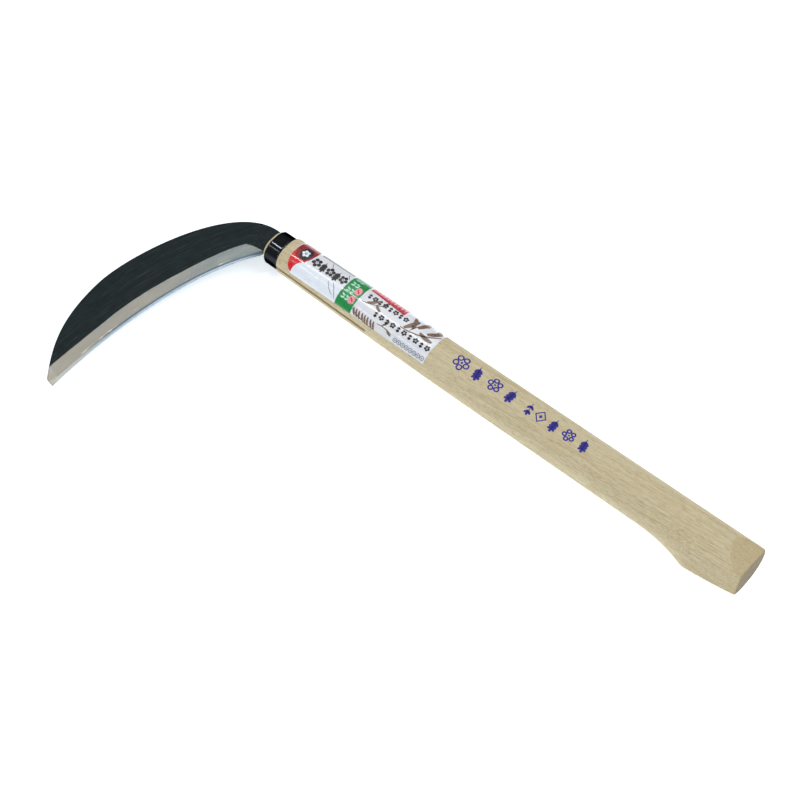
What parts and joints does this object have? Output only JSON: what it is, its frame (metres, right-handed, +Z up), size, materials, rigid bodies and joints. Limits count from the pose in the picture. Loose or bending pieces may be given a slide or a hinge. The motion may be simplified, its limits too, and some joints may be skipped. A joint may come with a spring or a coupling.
{
  "type": "hand sickle",
  "caption": "Hand sickle with a curved forged blade, ground along both sides of its edge, a black ferrule and a long pale wooden handle with a flared, faceted butt.",
  "frame": {"origin": "bottom centre of the bounding box, on the floor the sickle lies on", "axes": "+X along the handle from the blade to the butt, +Y towards the blade's spine, with the cutting edge on the -Y side, and +Z up from the floor"},
  "size_m": [0.4988, 0.2046, 0.0279],
  "materials": {
    "forged_iron": "black forge scale with a ground satin bevel along the edge",
    "edge_steel": "honed bright",
    "handle_wood": "pale, planed and bare, satin",
    "ferrule_black": "gloss black",
    "pin_steel": "plain drawn wire",
    "label_paper": "glossy printed label"
  },
  "bodies": {
    "root": {"blade_body": "forged_iron", "edge_steel": "edge_steel", "handle": "handle_wood", "ferrule": "ferrule_black", "tang_pin": "pin_steel", "label": "label_paper"}
  },
  "joints": []
}
